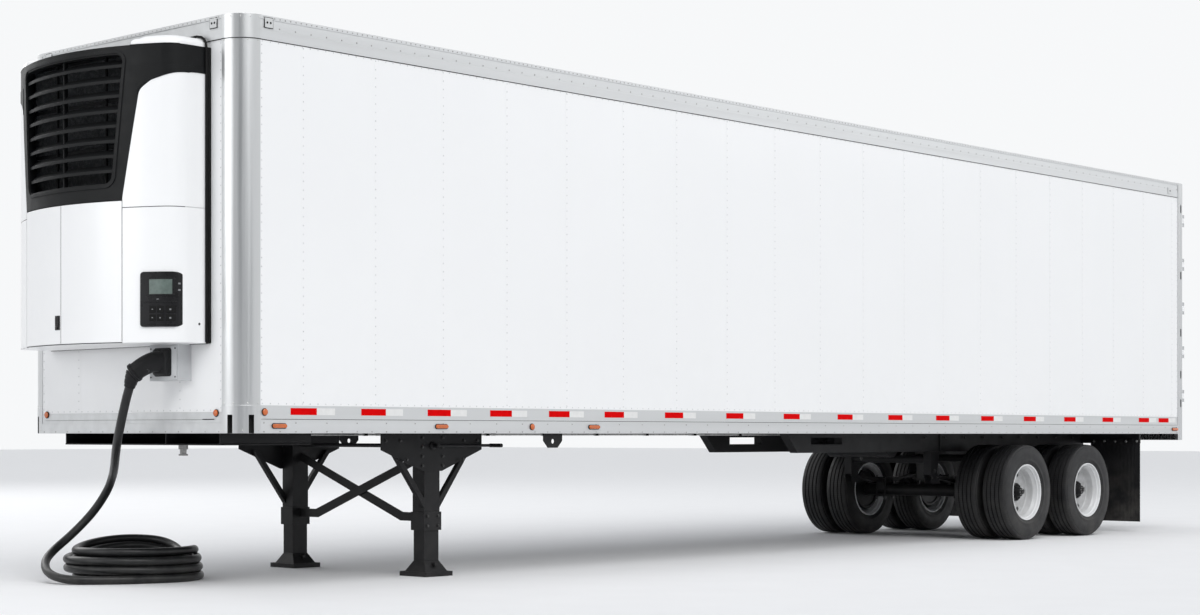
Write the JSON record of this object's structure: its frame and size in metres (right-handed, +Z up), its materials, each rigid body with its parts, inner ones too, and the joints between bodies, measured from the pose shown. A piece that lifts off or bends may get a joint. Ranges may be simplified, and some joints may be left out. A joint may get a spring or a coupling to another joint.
{
  "type": "refrigerated semi trailer",
  "caption": "Closed insulated box semi trailer with a nose-mounted cooling unit, landing legs, twin-wheel tandem axles, swing rear doors and a coiled power cable.",
  "frame": {"origin": "on the ground under the middle of the trailer's length and width, the cable left out", "axes": "+X forward towards the cooling unit, +Y to the left (road) side, +Z up"},
  "size_m": [15.306, 2.627, 4.115],
  "materials": {
    "amber_lens": "clear amber",
    "bare_steel": "machined",
    "black_grille": "fine grain",
    "black_steel": "satin black",
    "cable_rubber": "satin rubber sheath",
    "flap_rubber": "matt",
    "floor_aluminium": "mill finish",
    "panel_grey": "fine grain",
    "plug_black": "moulded",
    "polished_aluminium": "polished",
    "socket_grey": "satin",
    "stainless": "brushed",
    "tyre": "rubber",
    "unit_frame_metal": "satin",
    "unit_white": "gloss moulded skin",
    "wheel_white": "white enamel",
    "white_door": "gloss white",
    "white_panel": "gloss white pre-painted aluminium sheet"
  },
  "bodies": {
    "trailer": {"air_tank": "black_steel", "bogie_rails": "black_steel", "bottom_rails": "polished_aluminium", "cable": "cable_rubber", "cable_coil": "cable_rubber", "cable_connector": "plug_black", "cable_plug": "plug_black", "cable_tail": "cable_rubber", "control_panel": "panel_grey", "coupler_plate": "black_steel", "crank_handle": "black_steel", "crossmembers": "floor_aluminium", "door_hinge_butts": "stainless", "floor": "floor_aluminium", "front_axle": "black_steel", "front_rails": "polished_aluminium", "front_wall": "white_panel", "grille_louvres": "black_grille", "grille_surround": "black_grille", "kingpin": "bare_steel", "landing_leg_rams": "black_steel", "landing_leg_sleeves": "black_steel", "landing_shoes": "black_steel", "landing_wing_plates": "black_steel", "leaf_springs": "black_steel", "left_front_corner_post": "polished_aluminium", "left_side_wall": "white_panel", "left_unit_cover": "unit_white", "leg_cross_brace": "black_steel", "mud_flap_brackets": "black_steel", "mud_flaps": "flap_rubber", "rear_axle": "black_steel", "rear_frame": "stainless", "right_front_corner_post": "polished_aluminium", "right_side_wall": "white_panel", "right_unit_cover": "unit_white", "roof": "white_panel", "side_marker_lamps": "amber_lens", "socket_box": "socket_grey", "spring_hangers": "black_steel", "top_rails": "polished_aluminium", "unit_engine": "unit_frame_metal", "unit_frame": "unit_frame_metal"},
    "front_left_wheel_pair": {"front_left_tyres": "tyre", "front_left_wheels": "wheel_white"},
    "front_right_wheel_pair": {"front_right_tyres": "tyre", "front_right_wheels": "wheel_white"},
    "rear_left_wheel_pair": {"rear_left_tyres": "tyre", "rear_left_wheels": "wheel_white"},
    "rear_right_wheel_pair": {"rear_right_tyres": "tyre", "rear_right_wheels": "wheel_white"},
    "left_rear_door": {"left_rear_door": "white_door", "left_lock_rods": "stainless"},
    "right_rear_door": {"right_rear_door": "white_door", "right_lock_rods": "stainless"},
    "left_unit_door": {"left_unit_door": "unit_white"},
    "right_unit_door": {"right_unit_door": "unit_white"}
  },
  "joints": [
    {"name": "front_left_wheel_pair_spin", "type": "hinge", "parent": "trailer", "child": "front_left_wheel_pair", "pos_m": [-3.973, 0.984, 0.51], "axis": [0, 1, 0], "continuous": true},
    {"name": "front_right_wheel_pair_spin", "type": "hinge", "parent": "trailer", "child": "front_right_wheel_pair", "pos_m": [-3.973, -0.984, 0.51], "axis": [0, 1, 0], "continuous": true},
    {"name": "rear_left_wheel_pair_spin", "type": "hinge", "parent": "trailer", "child": "rear_left_wheel_pair", "pos_m": [-5.313, 0.984, 0.51], "axis": [0, 1, 0], "continuous": true},
    {"name": "rear_right_wheel_pair_spin", "type": "hinge", "parent": "trailer", "child": "rear_right_wheel_pair", "pos_m": [-5.313, -0.984, 0.51], "axis": [0, 1, 0], "continuous": true},
    {"name": "left_rear_door_hinge", "type": "hinge", "parent": "trailer", "child": "left_rear_door", "pos_m": [-7.637, 1.2795, 2.6], "axis": [0, 0, -1], "range_deg": [0, 262]},
    {"name": "right_rear_door_hinge", "type": "hinge", "parent": "trailer", "child": "right_rear_door", "pos_m": [-7.637, -1.2795, 2.6], "axis": [0, 0, 1], "range_deg": [0, 262]},
    {"name": "left_unit_door_hinge", "type": "hinge", "parent": "trailer", "child": "left_unit_door", "pos_m": [7.5367, 0.588, 2.3], "axis": [0, 0, 1], "range_deg": [0, 110]},
    {"name": "right_unit_door_hinge", "type": "hinge", "parent": "trailer", "child": "right_unit_door", "pos_m": [7.5367, -0.588, 2.3], "axis": [0, 0, -1], "range_deg": [0, 110]}
  ]
}
